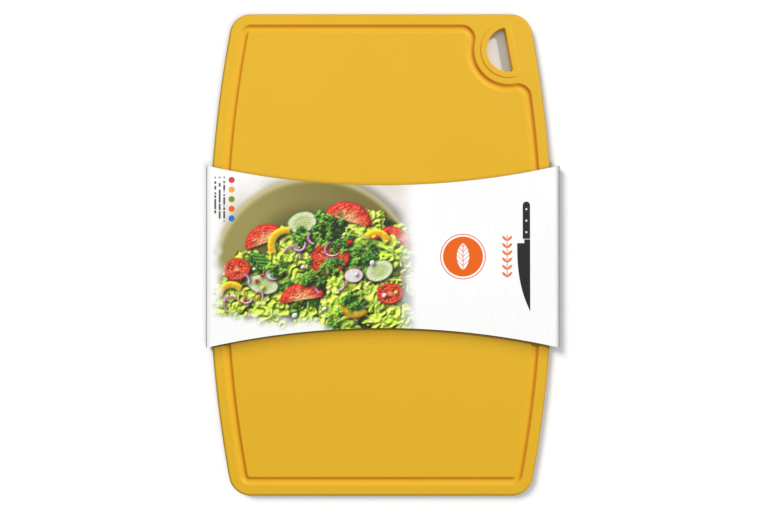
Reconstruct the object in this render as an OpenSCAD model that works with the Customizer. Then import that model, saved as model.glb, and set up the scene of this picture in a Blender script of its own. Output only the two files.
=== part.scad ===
/* [Mat] */
// Length of the mat, from end to end
mat_length = 320; // [300:1:340]
// Width of the mat at its middle, where the bowed sides are widest
mat_width = 228.6; // [220:0.1:240]
// Width of the mat at its ends, as if its corners were sharp
end_width = 196.8; // [186:0.1:206]
// Thickness of the mat
mat_thickness = 5; // [4.2:0.1:8]
// Radius of the four corners, seen from above
corner_radius = 14.3; // [12:0.1:20]
// Radius of the rounded edge that runs all round the mat
edge_radius = 2; // [0.5:0.1:2.4]

/* [Juice groove] */
// Distance from the mat's outline to the middle of the groove
groove_inset = 10; // [9:0.1:11]
// Width of the groove at the mat's top face
groove_width = 5; // [3.6:0.1:6]
// Depth of the groove, which has a round bottom
groove_depth = 1.3; // [1:0.1:1.8]
// Radius of the two curves that lead the groove into its bend round the hang hole
blend_radius = 6.6; // [5:0.1:9]

/* [Hang hole] */
// Radius of the hang hole, which is a half circle with one flat side
hole_radius = 14.7; // [12:0.1:16]
// Distance from the mat's end to the middle of the hole's flat side
hole_from_end = 24; // [22:0.1:28]
// Distance from the mat's side to the middle of the hole's flat side
hole_from_side = 18; // [16:0.1:22]
// Width of the raised pad round the hole
pad_margin = 4; // [2:0.1:5]
// Height of the raised pad above the mat's top face
pad_height = 0.4; // [0.2:0.05:0.8]
// Distance from the hole's round side to the middle of the groove's bend
bend_gap = 10.9; // [9.5:0.1:13]

/* [Card sleeve] */
// Thickness of the card
card_thickness = 0.35; // [0.25:0.05:0.6]
// Length of the sleeve along the mat, at its two side folds
fold_length = 120.6; // [110:0.1:130]
// Length of the sleeve along the mat, at its waist between the curved edges
waist_length = 94.3; // [80:0.1:105]
// Outer radius of the card where it is folded round the mat's sides
fold_radius = 3; // [1.5:0.1:3.9]
// Distance from the mat's middle to the sleeve's middle, along the mat
sleeve_shift = -1.5; // [-10:0.1:10]

/* [Glued seam] */
// Width by which the card's two ends overlap at the back
seam_overlap = 20; // [12:0.5:30]
// Width of the strip of glue between the two ends
glue_width = 12; // [6:0.5:18]
// Thickness of the strip of glue
glue_thickness = 0.1; // [0.05:0.05:0.2]
// Distance from the end of the glue to the sleeve's curved edge
glue_margin = 5; // [2:0.5:10]
// Length over which the inner end of the card steps up to lie on the outer end
seam_step = 3; // [2:0.5:6]

/* [Fits] */
// Air between the mat's left side and the card
left_gap = 1.45; // [0.5:0.05:5]
// Air between the mat's right side and the card
right_gap = 4.05; // [0.5:0.05:5]
// Air between the raised pad and the front of the card, as the sleeve slides past it
front_gap = 1.1; // [0.3:0.05:3]
// Air between the mat's underside and the inner end of the card
back_gap = 0.3; // [0.2:0.05:1]

/* [Hidden] */
// Facets to a full turn in a view of the model: on small rounds, and on the long arcs of sides and edges
small_fn = 48;
long_fn = 720;
$fn = small_fn;
// Each bend of the rim or the groove stands this far inside the line of the runs that it joins, and
// reaches this far into them, so that they meet in a clean edge and not in a sliver
hair = 0.02;
lap = 0.2;
// A length that reaches past whatever it cuts
past = 10;

// The sides of the mat are arcs of one radius, each with its centre on the far side of the mat
side_bow = (mat_width - end_width) / 2;
side_radius = (pow(mat_length / 2, 2) + pow(side_bow, 2)) / (2 * side_bow);
side_centre = side_radius - mat_width / 2;
edge = min(edge_radius, mat_thickness / 2 - 0.1);

// The groove's section is part of a circle, and no bend of it is tighter than that circle
tube_radius = (pow(groove_width / 2, 2) + pow(groove_depth, 2)) / (2 * groove_depth);
least_bend = tube_radius + 0.5;
groove_corner = max(corner_radius - groove_inset, least_bend);
groove_blend = max(blend_radius, least_bend);
groove_bend = hole_radius + bend_gap;

// Heights above the surface that the sleeve lies on
inner_end_z = card_thickness + glue_thickness;
mat_z = inner_end_z + card_thickness + back_gap;
mat_top = mat_z + mat_thickness;
front_z = mat_top + pad_height + front_gap;
sleeve_height = front_z + card_thickness;

// The sleeve's two sides, its middle and the arcs of its two curved edges
sleeve_left = -mat_width / 2 - left_gap - card_thickness;
sleeve_right = mat_width / 2 + right_gap + card_thickness;
sleeve_middle = (sleeve_left + sleeve_right) / 2;
sleeve_width = sleeve_right - sleeve_left;
fold = min(fold_radius, sleeve_height / 2 - 0.05);
waist_bow = (fold_length - waist_length) / 2;
waist_radius = (pow(sleeve_width / 2, 2) + pow(waist_bow, 2)) / (2 * waist_bow);

// Angle, from the far side's centre, of the radius that ends at a corner arc of the given size and inset
function corner_angle(inset, radius) =
    asin((mat_length / 2 - inset - radius) / (side_radius - inset - radius));

// Centre of the corner arc of the given size and inset
function corner_centre(inset, radius) =
    let (reach = side_radius - inset - radius, angle = corner_angle(inset, radius))
    [reach * cos(angle) - side_centre, mat_length / 2 - inset - radius];

// Angle of a triangle between its sides a and b, opposite its side c
function angle_between(a, b, c) = acos((a * a + b * b - c * c) / (2 * a * b));

// The hole's centre, and the slope of the mat's side there, which its flat side follows
hole_y = mat_length / 2 - hole_from_end;
hole_x = sqrt(pow(side_radius, 2) - pow(hole_y, 2)) - side_centre - hole_from_side;
hole_slope = corner_angle(0, corner_radius);

// Centres of the two blends, seen from the hole: one touches the groove's end run, the other its side run
blend_reach = groove_bend + groove_blend;
end_blend_y = mat_length / 2 - groove_inset - groove_blend - hole_y;
end_blend_angle = 180 - asin(end_blend_y / blend_reach);
side_reach = side_radius - groove_inset - groove_blend;
hole_reach = norm([hole_x + side_centre, hole_y]);
hole_bearing = atan2(hole_y, hole_x + side_centre);
side_blend_angle = hole_bearing + 180 + angle_between(hole_reach, blend_reach, side_reach);
side_blend_bearing = hole_bearing - angle_between(hole_reach, side_reach, blend_reach);

// A quarter of a disc, or of a ring where there is a bore, in the quadrant that the two signs give
module quarter(radius, bore, sx, sy) {
    intersection() {
        difference() {
            circle(radius, $fn = small_fn);
            if (bore > 0) circle(bore, $fn = small_fn);
        }
        translate([min(sx, 0) * radius, min(sy, 0) * radius]) square(radius);
    }
}

// A run along the right side of the mat, between two bearings from the side's own centre
module side_run(inset, from, to) {
    translate([-side_centre, 0, 0]) rotate([0, 0, from]) rotate_extrude(angle = to - from, $fn = long_fn)
        translate([side_radius - inset, 0]) children();
}

// A straight run along the far end of the mat
module end_run(inset, from, to) {
    translate([from, mat_length / 2 - inset, 0]) rotate([90, 0, 90]) linear_extrude(to - from) children();
}

// A bend about a point, between two bearings, that laps into the runs at both of its ends
module bend(centre, radius, from, to) {
    over = lap * 180 / PI / radius;
    translate([centre.x, centre.y, 0]) rotate([0, 0, from - over])
        rotate_extrude(angle = to - from + 2 * over) translate([radius, 0]) children();
}

// Copies a shape to the left side, to the near end, or to both
module mirrored(left, near) {
    mirror([left ? 1 : 0, 0, 0]) mirror([0, near ? 1 : 0, 0]) children();
}

// What a rounded edge takes off the mat in section, where x = 0 is the outline, at its bottom and top
module edge_section(slack) {
    for (top = [0, 1])
        translate([-slack - edge, top * mat_thickness]) mirror([0, top, 0]) difference() {
            translate([0, -past]) square([edge + past, past + edge]);
            translate([0, edge]) circle(edge, $fn = small_fn);
        }
}

// A plate with bowed sides and sharp corners
module plate() {
    linear_extrude(mat_thickness) intersection() {
        translate([-side_centre, 0]) circle(side_radius, $fn = long_fn);
        translate([side_centre, 0]) circle(side_radius, $fn = long_fn);
        square([mat_width + past, mat_length], center = true);
    }
}

module plate_with_round_sides() {
    reach = 2 * corner_angle(0, corner_radius);
    difference() {
        plate();
        for (left = [false, true])
            mirrored(left, false) side_run(0, -reach, reach) edge_section(0);
    }
}

module plate_with_round_edges() {
    difference() {
        plate_with_round_sides();
        for (near = [false, true])
            mirrored(false, near) end_run(0, -mat_width, mat_width) edge_section(0);
    }
}

// What is taken off at one corner: all that is outside its arc, and the arc's own rounded edge
module corner_cutter() {
    bend(corner_centre(0, corner_radius), corner_radius, corner_angle(0, corner_radius), 90) {
        edge_section(hair);
        translate([-hair, -past]) square([2 * past, mat_thickness + 2 * past]);
    }
}

module mat_blank() {
    difference() {
        plate_with_round_edges();
        for (left = [false, true], near = [false, true])
            mirrored(left, near) corner_cutter();
    }
}

// The groove's section, where x = 0 is its middle: a circle that dips into the top face
module groove_section(slack) {
    translate([0, mat_thickness + tube_radius - groove_depth]) circle(tube_radius - slack, $fn = small_fn);
}

module groove() {
    angle = corner_angle(groove_inset, groove_corner);
    centre = corner_centre(groove_inset, groove_corner);
    hole = [hole_x, hole_y];
    end_blend = hole + blend_reach * [cos(end_blend_angle), sin(end_blend_angle)];
    side_blend = hole + blend_reach * [cos(side_blend_angle), sin(side_blend_angle)];
    side_run(groove_inset, -angle, side_blend_bearing) groove_section(0);
    mirrored(true, false) side_run(groove_inset, -angle, angle) groove_section(0);
    end_run(groove_inset, -centre.x, end_blend.x) groove_section(0);
    mirrored(false, true) end_run(groove_inset, -centre.x, centre.x) groove_section(0);
    for (sides = [[true, false], [false, true], [true, true]])
        mirrored(sides[0], sides[1]) bend(centre, groove_corner, angle, 90) groove_section(hair);
    bend(end_blend, groove_blend, end_blend_angle - 180, 90) groove_section(hair);
    bend(side_blend, groove_blend, side_blend_bearing, side_blend_angle - 180) groove_section(hair);
    bend(hole, groove_bend, end_blend_angle, side_blend_angle) groove_section(0);
}

// The hang hole's outline, a half disc whose flat side follows the mat's side, grown by the given margin
module hole_outline(margin) {
    translate([hole_x, hole_y]) rotate(hole_slope) {
        intersection() {
            circle(hole_radius + margin);
            translate([-2 * hole_radius, -2 * hole_radius]) square([2 * hole_radius, 4 * hole_radius]);
        }
        if (margin > 0) {
            translate([0, -hole_radius]) {
                square([margin, 2 * hole_radius]);
                quarter(margin, 0, 1, -1);
            }
            translate([0, hole_radius]) quarter(margin, 0, 1, 1);
        }
    }
}

module mat() {
    color([0.91, 0.72, 0.21]) translate([0, 0, mat_z]) difference() {
        union() {
            mat_blank();
            translate([0, 0, mat_thickness / 2]) linear_extrude(mat_thickness / 2 + pad_height)
                hole_outline(pad_margin);
        }
        groove();
        translate([0, 0, -past]) linear_extrude(mat_thickness + 2 * past) hole_outline(0);
    }
}

// The card in section, seen along the mat: a loop round the mat with its two ends lapped at the back
module card_section() {
    flat_left = sleeve_left + fold;
    flat_right = sleeve_right - fold;
    lap_left = sleeve_middle - seam_overlap / 2;
    lap_right = sleeve_middle + seam_overlap / 2;
    step_start = lap_right + card_thickness;
    step_end = step_start + seam_step;
    // Front, sides and the four rounded corners of the folds
    translate([flat_left, front_z]) square([flat_right - flat_left, card_thickness]);
    for (x = [sleeve_left, sleeve_right - card_thickness])
        translate([x, fold]) square([card_thickness, sleeve_height - 2 * fold]);
    for (sx = [-1, 1], sz = [-1, 1])
        translate([sx < 0 ? flat_left : flat_right, sz < 0 ? fold : sleeve_height - fold])
            quarter(fold, fold - card_thickness, sx, sz);
    // The outer end comes from the left fold, and the inner end from the right one, stepping up over it
    translate([flat_left, 0]) square([lap_right - flat_left, card_thickness]);
    translate([step_end, 0]) square([flat_right - step_end, card_thickness]);
    polygon([[step_end, 0], [step_end, card_thickness], [step_start, inner_end_z + card_thickness],
        [step_start, inner_end_z]]);
    translate([lap_left, inner_end_z]) square([step_start - lap_left, card_thickness]);
}

module sleeve_card() {
    color([0.95, 0.95, 0.94]) difference() {
        translate([0, sleeve_shift + fold_length / 2 + past, 0]) rotate([90, 0, 0])
            linear_extrude(fold_length + 2 * past) card_section();
        for (s = [-1, 1])
            translate([sleeve_middle, sleeve_shift + s * (waist_length / 2 + waist_radius), -past])
                cylinder(h = sleeve_height + 2 * past, r = waist_radius, $fn = long_fn);
    }
}

module glue_strip() {
    length = waist_length - 2 * glue_margin;
    color([0.85, 0.82, 0.7])
        translate([sleeve_middle - glue_width / 2, sleeve_shift - length / 2, card_thickness])
            cube([glue_width, length, glue_thickness]);
}

mat();
sleeve_card();
glue_strip();
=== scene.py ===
import math

import bmesh
import bpy
import numpy as np
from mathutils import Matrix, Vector


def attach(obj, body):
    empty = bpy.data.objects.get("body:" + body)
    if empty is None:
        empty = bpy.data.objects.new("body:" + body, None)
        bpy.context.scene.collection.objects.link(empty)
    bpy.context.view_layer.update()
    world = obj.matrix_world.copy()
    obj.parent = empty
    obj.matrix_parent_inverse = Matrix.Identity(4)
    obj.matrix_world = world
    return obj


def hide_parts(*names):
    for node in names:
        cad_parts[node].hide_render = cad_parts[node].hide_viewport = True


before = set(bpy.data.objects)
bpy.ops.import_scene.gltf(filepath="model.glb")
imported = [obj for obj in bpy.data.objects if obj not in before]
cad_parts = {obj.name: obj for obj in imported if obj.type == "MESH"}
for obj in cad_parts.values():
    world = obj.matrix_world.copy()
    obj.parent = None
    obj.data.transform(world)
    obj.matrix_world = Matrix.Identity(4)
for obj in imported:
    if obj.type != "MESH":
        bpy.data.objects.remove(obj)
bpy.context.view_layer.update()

mm = 0.001
levelTolerance = 0.02 * mm


# Node and mesh helpers

class Field:
    # a node's output socket; a sum of fields and numbers makes the math nodes for it
    def __init__(self, socket):
        self.socket = socket
        self.tree = socket.id_data

    def __add__(self, other):
        return calc("ADD", self, other)

    def __sub__(self, other):
        return calc("SUBTRACT", self, other)

    def __rsub__(self, other):
        return calc("SUBTRACT", other, self)

    def __mul__(self, other):
        return calc("MULTIPLY", self, other)

    def __truediv__(self, other):
        return calc("DIVIDE", self, other)

    def __pow__(self, other):
        return calc("POWER", self, other)

    def __abs__(self):
        return calc("ABSOLUTE", self)

    def __gt__(self, other):  # 1 where it holds, 0 elsewhere
        return calc("GREATER_THAN", self, other)

    def __lt__(self, other):
        return calc("LESS_THAN", self, other)

    def clamped(self):  # holds the newest sum between 0 and 1
        self.socket.node.use_clamp = True
        return self

    __radd__, __rmul__ = __add__, __mul__


def calc(operation, *values):
    tree = next(value.tree for value in values if isinstance(value, Field))
    return Field(addNode(tree, "ShaderNodeMath", dict(enumerate(values)), operation=operation).outputs[0])


def most(first, *others):
    for other in others:
        first = calc("MAXIMUM", first, other)
    return first


def addNode(tree, kind, inputs=None, **settings):
    node = tree.nodes.new(kind)
    for name, value in settings.items():
        setattr(node, name, value)
    for key, value in (inputs or {}).items():
        feed(node.inputs[key], value)
    return node


def feed(socket, value):  # a field or socket is linked to, anything else is the input's own value
    source = value.socket if isinstance(value, Field) else value
    if isinstance(source, bpy.types.NodeSocket):
        socket.id_data.links.new(source, socket)
    else:
        socket.default_value = source


def step(tree, kind, geometry, inputs=None, **settings):
    # a node that takes the geometry in its first input and hands it on
    return addNode(tree, kind, {0: geometry, **(inputs or {})}, **settings).outputs[0]


def fieldsOf(node, *names):
    return [Field(node.outputs[name]) for name in names]


def vectorOf(tree, **parts):
    return addNode(tree, "ShaderNodeCombineXYZ", parts).outputs[0]


def axes(tree, vector):
    return fieldsOf(addNode(tree, "ShaderNodeSeparateXYZ", {0: vector}), "X", "Y", "Z")


def newTree(name, kind, inputs, outputs):
    # inputs and outputs: socket name -> socket type
    tree = bpy.data.node_groups.new(name, kind)
    for way, sockets in (("INPUT", inputs), ("OUTPUT", outputs)):
        for label, socketKind in sockets.items():
            tree.interface.new_socket(label, in_out=way, socket_type="NodeSocket" + socketKind)
    return tree, addNode(tree, "NodeGroupInput"), addNode(tree, "NodeGroupOutput")


def newGeometryTree(name, sizes):
    geometry = {"Geometry": "Geometry"}
    return newTree(name, "GeometryNodeTree", {**geometry, **sizes}, geometry)


def newObject(name, data):
    made = bpy.data.objects.new(name, data)
    bpy.context.scene.collection.objects.link(made)
    return made


def meshOf(holder):
    # the object's mesh with its modifiers run; the object itself goes
    bpy.context.view_layer.update()
    mesh = bpy.data.meshes.new_from_object(holder.evaluated_get(bpy.context.evaluated_depsgraph_get()))
    bpy.data.objects.remove(holder)
    return mesh


def bakeTree(name, tree, values):
    # runs the tree on an empty mesh with its named inputs set, and returns the plain result
    holder = newObject(name + "Maker", bpy.data.meshes.new(name + "Seed"))
    modifier = holder.modifiers.new("maker", "NODES")
    modifier.node_group = tree
    keys = {item.name: item.identifier for item in tree.interface.items_tree if item.in_out == "INPUT"}
    for label, value in values.items():
        modifier[keys[label]] = value
    baked = meshOf(holder)
    baked.name = name
    return baked


def faceOutwards(name, mesh, sharpFrom):
    # edges that turn by that angle or more are drawn sharp
    work = bmesh.new()
    work.from_mesh(mesh)
    bmesh.ops.recalc_face_normals(work, faces=work.faces)
    openEdges = sum(not edge.is_manifold for edge in work.edges)
    for edge in work.edges:
        edge.smooth = edge.smooth and edge.calc_face_angle(0) < math.radians(sharpFrom)
    work.to_mesh(mesh)
    work.free()
    print(name, "made:", len(mesh.polygons), "faces,", openEdges, "open edges")
    return mesh


def addPiece(name, mesh, body, slotName, *replaced):
    piece = newObject(name, mesh)
    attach(piece, body)
    if replaced:
        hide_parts(*replaced)
    return piece


def lineCurve(name, points, closed):
    # a poly line in metres from points in millimetres
    curve = bpy.data.curves.new(name, "CURVE")
    curve.dimensions = "3D"
    spline = curve.splines.new("POLY")
    spline.points.add(len(points) - 1)
    for target, point in zip(spline.points, points):
        x, y, z = (*point, 0.0)[:3]
        target.co = (x * mm, y * mm, z * mm, 1)
    spline.use_cyclic_u = closed
    return newObject(name, curve)


def arc(centre, radius, start, end, spacing):
    # points on an arc, in degrees from start to end, about that many millimetres apart
    count = max(2, math.ceil(abs(math.radians(end - start)) * radius / spacing) + 1)
    angles = np.radians(np.linspace(start, end, count))
    return [(centre[0] + radius * math.cos(a), centre[1] + radius * math.sin(a)) for a in angles]


def withoutRepeats(points):
    return [point for i, point in enumerate(points) if math.dist(point, points[i - 1]) > 0.01]


# The camera looks straight down, with the mat's length up the picture

cameraSet = {"aim": (0.0020, -0.0011, 0.0061), "away": 0.50, "lean": 0.45, "pictureWidth": 0.5090,
             "sensor": 36.0, "nearest": 0.01}
camera = newObject("camera", bpy.data.cameras.new("camera"))
camera.data.sensor_width = cameraSet["sensor"]
camera.data.lens = cameraSet["sensor"] * cameraSet["away"] / cameraSet["pictureWidth"]
camera.data.clip_start = cameraSet["nearest"]
camera.rotation_euler.x = math.radians(cameraSet["lean"])
backwards = camera.rotation_euler.to_matrix() @ Vector((0, 0, cameraSet["away"]))
camera.location = Vector(cameraSet["aim"]) + backwards
bpy.context.scene.camera = camera
print("camera stands")


# The mat: paths and sections in millimetres, swept by nodes

matSet = {"length": 320, "width": 228.6, "endWidth": 196.8, "underside": 1.1, "thickness": 5,
          "corner": 14.3, "edge": 2, "grooveInset": 10.0, "grooveWidth": 5.0, "grooveDepth": 1.3,
          "grooveLip": 0.6, "grooveRound": 2.5, "grooveSteps": 19, "grooveCorner": 4.0, "blend": 6.6,
          "bendGap": 10.9, "holeRadius": 14.7, "holeFromEnd": 24, "holeFromSide": 18, "holeCorner": 1.1,
          "holeLip": 0.45, "padMargin": 4, "padHeight": 0.4, "padLip": 0.8, "padSteps": 7,
          "arcStep": 3.0, "bendStep": 0.7, "lipSteps": 4, "wallSteps": 10, "weld": 0.004}


def matPaths(s):
    halfLength, fine, coarse = s["length"] / 2, s["bendStep"], s["arcStep"]
    bow = (s["width"] - s["endWidth"]) / 2
    sideRadius = (halfLength ** 2 + bow ** 2) / (2 * bow)
    sideCentre = sideRadius - s["width"] / 2

    def cornerOf(inset, radius):
        reach = sideRadius - inset - radius
        angle = math.degrees(math.asin((halfLength - inset - radius) / reach))
        return angle, (reach * math.cos(math.radians(angle)) - sideCentre, halfLength - inset - radius)

    def between(a, b, c):  # the angle between sides a and b of a triangle
        return math.degrees(math.acos((a * a + b * b - c * c) / (2 * a * b)))

    def otherCorners(inset, radius):
        # from the end near the hole round by the left, and back to the right side's middle
        angle, (x, y) = cornerOf(inset, radius)
        return (arc((-x, y), radius, 90, 180 - angle, fine)
                + arc((sideCentre, 0), sideRadius - inset, 180 - angle, 180 + angle, coarse)
                + arc((-x, -y), radius, 180 + angle, 270, fine)
                + arc((x, -y), radius, 270, 360 - angle, fine))

    slope, cornerMiddle = cornerOf(0, s["corner"])
    outline = (arc((-sideCentre, 0), sideRadius, -slope, slope, coarse)
               + arc(cornerMiddle, s["corner"], slope, 90, fine)
               + otherCorners(0, s["corner"]))

    holeY = halfLength - s["holeFromEnd"]
    holeX = math.sqrt(sideRadius ** 2 - holeY ** 2) - sideCentre - s["holeFromSide"]
    inset, blend = s["grooveInset"], s["blend"]
    bend = s["holeRadius"] + s["bendGap"]
    reach = bend + blend
    endAngle = 180 - math.degrees(math.asin((halfLength - inset - blend - holeY) / reach))
    sideReach = sideRadius - inset - blend
    holeReach = math.hypot(holeX + sideCentre, holeY)
    bearing = math.degrees(math.atan2(holeY, holeX + sideCentre))
    sideAngle = bearing + 180 + between(holeReach, reach, sideReach)
    sideBearing = bearing - between(holeReach, sideReach, reach)

    def offHole(angleOut):
        a = math.radians(angleOut)
        return holeX + reach * math.cos(a), holeY + reach * math.sin(a)

    corner = max(s["corner"] - inset, s["grooveCorner"])
    turn = cornerOf(inset, corner)[0]
    groove = (arc((-sideCentre, 0), sideRadius - inset, -turn, sideBearing, coarse)
              + arc(offHole(sideAngle), blend, sideBearing, sideAngle - 180, fine)
              + arc((holeX, holeY), bend, sideAngle, endAngle, fine)
              + arc(offHole(endAngle), blend, endAngle - 180, 90, fine)
              + otherCorners(inset, corner))

    def turned(points):  # from the hole's own square frame to the mat's
        c, n = math.cos(math.radians(slope)), math.sin(math.radians(slope))
        return [(holeX + u * c - v * n, holeY + u * n + v * c) for u, v in points]

    radius, small, margin = s["holeRadius"], s["holeCorner"], s["padMargin"]
    rise = math.sqrt((radius - small) ** 2 - small ** 2)
    lean = math.degrees(math.atan2(rise, -small))
    hole = turned(arc((-small, rise), small, 0, lean, fine / 3)
                  + arc((0, 0), radius, lean, 360 - lean, fine)
                  + arc((-small, -rise), small, 360 - lean, 360, fine / 3))
    pad = turned(arc((0, radius), margin, 0, 90, fine)
                 + arc((0, 0), radius + margin, 90, 270, fine)
                 + arc((0, -radius), margin, 270, 360, fine))
    return {name: withoutRepeats(points) for name, points in
            {"outline": outline, "groove": groove, "hole": hole, "pad": pad}.items()}


def matSections(s):
    # (distance outwards from the path, height above the underside)
    top, edge = s["thickness"], s["edge"]
    padTop, holeLip, padLip = top + s["padHeight"], s["holeLip"], s["padLip"]
    halfWidth, depth, lip = s["grooveWidth"] / 2, s["grooveDepth"], s["grooveLip"]
    almostQuarter = 1.57  # of a turn, so that a quarter round has one step more than is asked

    def quarters(inset, ceiling, radius, steps, starts):
        spacing = radius * almostQuarter / steps
        upper = arc((inset, ceiling - radius), radius, *starts[0], spacing)
        return upper + arc((inset, radius), radius, *starts[1], spacing)

    across = np.linspace(lip - halfWidth, halfWidth - lip, s["grooveSteps"])
    bowl = [(x, top - depth * (1 - (abs(x) / halfWidth) ** s["grooveRound"])) for x in across]
    side = [((halfWidth + lip) * (1 - t) ** 2 + 2 * halfWidth * t * (1 - t) + bowl[-1][0] * t * t,
             top * (1 - t * t) + bowl[-1][1] * t * t) for t in np.linspace(0, 1, s["lipSteps"] + 1)]
    groove = [(-x, z) for x, z in side] + bowl + side[::-1]
    pad = [(padLip * (0.5 - t), top + s["padHeight"] * t * t * (3 - 2 * t))
           for t in np.linspace(0, 1, s["padSteps"])]
    rim = quarters(-edge, top, edge, s["wallSteps"], ((90, 0), (0, -90)))
    hole = quarters(holeLip, padTop, holeLip, s["lipSteps"], ((90, 180), (180, 270)))
    return {"outline": withoutRepeats(rim), "groove": withoutRepeats(groove), "pad": pad,
            "hole": withoutRepeats(hole)}


def levelFillGroup():
    # closes every open edge loop that lies at one height with flat faces, loops inside loops left open
    tree, given, result = newGeometryTree("levelFill", {"Height": "Float", "Faces Down": "Bool"})
    faceCount = addNode(tree, "GeometryNodeInputMeshEdgeNeighbors").outputs["Face Count"]
    isOpen = addNode(tree, "FunctionNodeCompare", {2: faceCount, 3: 1}, data_type="INT", operation="EQUAL")
    height = axes(tree, addNode(tree, "GeometryNodeInputPosition").outputs[0])[2]
    isLevel = abs(height - given.outputs["Height"]) < levelTolerance
    chosen = addNode(tree, "FunctionNodeBooleanMath", {0: isOpen.outputs[0], 1: isLevel}, operation="AND")
    loops = step(tree, "GeometryNodeMeshToCurve", given.outputs["Geometry"], {"Selection": chosen.outputs[0]})
    filled = step(tree, "GeometryNodeFillCurve", loops)
    lift = vectorOf(tree, Z=given.outputs["Height"])
    flat = step(tree, "GeometryNodeTransform", filled, {"Translation": lift})
    turnedOver = step(tree, "GeometryNodeFlipFaces", flat, {"Selection": given.outputs["Faces Down"]})
    feed(result.inputs[0], step(tree, "GeometryNodeSetShadeSmooth", turnedOver, {"Shade Smooth": False}))
    return tree


def finishTree(tree, geometry, material, result):
    real = step(tree, "GeometryNodeRealizeInstances", geometry)
    feed(result.inputs[0], step(tree, "GeometryNodeSetMaterial", real, {"Material": material}))
    return tree


def mouldedMatTree(strips):
    sizes = {strip + kind: "Object" for strip in strips for kind in (" path", " section")}
    sizes.update({"Underside": "Float", "Top": "Float", "Pad Top": "Float", "Weld": "Float",
                  "Silicone": "Material"})
    tree, given, result = newGeometryTree("mouldedMat", sizes)
    joined = addNode(tree, "GeometryNodeJoinGeometry")
    for strip in strips:
        path, section = [addNode(tree, "GeometryNodeObjectInfo", {"Object": given.outputs[strip + kind]})
                         .outputs["Geometry"] for kind in (" path", " section")]
        upright = step(tree, "GeometryNodeSetCurveNormal", path, mode="Z_UP")
        swept = step(tree, "GeometryNodeCurveToMesh", upright, {"Profile Curve": section})
        marked = step(tree, "GeometryNodeStoreNamedAttribute", swept,
                      {"Name": "rim", "Value": float(strip == "outline")}, data_type="FLOAT", domain="FACE")
        feed(joined.inputs[0], marked)
    lift = vectorOf(tree, Z=given.outputs["Underside"])
    raised = step(tree, "GeometryNodeTransform", joined.outputs[0], {"Translation": lift})
    soft = step(tree, "GeometryNodeSetShadeSmooth", raised, {"Shade Smooth": True})
    whole = addNode(tree, "GeometryNodeJoinGeometry", {0: soft})
    fill = levelFillGroup()
    for height, down in (("Top", False), ("Pad Top", False), ("Underside", True)):
        level = addNode(tree, "GeometryNodeGroup", {}, node_tree=fill)
        feed(level.inputs["Geometry"], soft)
        feed(level.inputs["Height"], given.outputs[height])
        feed(level.inputs["Faces Down"], down)
        feed(whole.inputs[0], level.outputs[0])
    welded = step(tree, "GeometryNodeMergeByDistance", whole.outputs[0], {"Distance": given.outputs["Weld"]})
    return finishTree(tree, welded, given.outputs["Silicone"], result)


def makeMat(s, material):
    paths, sections = matPaths(s), matSections(s)
    top = s["underside"] + s["thickness"]
    values = {"Underside": s["underside"] * mm, "Top": top * mm, "Pad Top": (top + s["padHeight"]) * mm,
              "Weld": s["weld"] * mm, "Silicone": material}
    helpers = {}
    for strip, section in sections.items():
        helpers[strip + " path"] = lineCurve(strip + "Path", paths[strip], True)
        # a section's second axis points down once it is swept
        helpers[strip + " section"] = lineCurve(strip + "Section", [(x, -z) for x, z in section], False)
    mesh = bakeTree("mat", mouldedMatTree(list(sections)), {**values, **helpers})
    for helper in helpers.values():
        bpy.data.objects.remove(helper)
    return faceOutwards("mat", mesh, 180)


# The card sleeve: one sheet folded round the mat, its two ends lapped at the back

cardSet = {"left": -116.1, "right": 118.7, "height": 7.94, "thickness": 0.35, "foldRadius": 3.0,
           "foldLength": 120.6, "waistLength": 94.3, "shift": -1.5, "lapWidth": 20, "glue": 0.1,
           "stepLength": 3.0, "sag": 0.45, "sagPower": 6.0, "columnStep": 4.0, "foldStep": 0.55, "rows": 49,
           "sharpFrom": 50}


def cardOutline(s):
    # the card's outer line seen along the mat, from its outer end round to its inner end
    left, right, top, bend = s["left"], s["right"], s["height"], s["foldRadius"]
    middle = (left + right) / 2
    lapLeft, lapRight = middle - s["lapWidth"] / 2, middle + s["lapWidth"] / 2
    innerEnd = s["thickness"] + s["glue"]
    stepStart = lapRight + s["thickness"]
    folds = ((left + bend, bend, 270), (left + bend, top - bend, 180), (right - bend, top - bend, 90),
             (right - bend, bend, 0))
    corners = [arc((x, z), bend, angle, angle - 90, s["foldStep"]) for x, z, angle in folds]
    stops = [[(lapRight, 0)], *corners, [(stepStart + s["stepLength"], 0)], [(stepStart, innerEnd)],
             [(lapLeft, innerEnd)]]
    points = []
    for here, there in zip(stops, stops[1:]):
        start, end = here[-1], there[0]
        count = max(1, round(math.dist(start, end) / s["columnStep"]))
        points += here + [(start[0] + (end[0] - start[0]) * i / count,
                           start[1] + (end[1] - start[1]) * i / count) for i in range(1, count)]
    return points + stops[-1]


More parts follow.
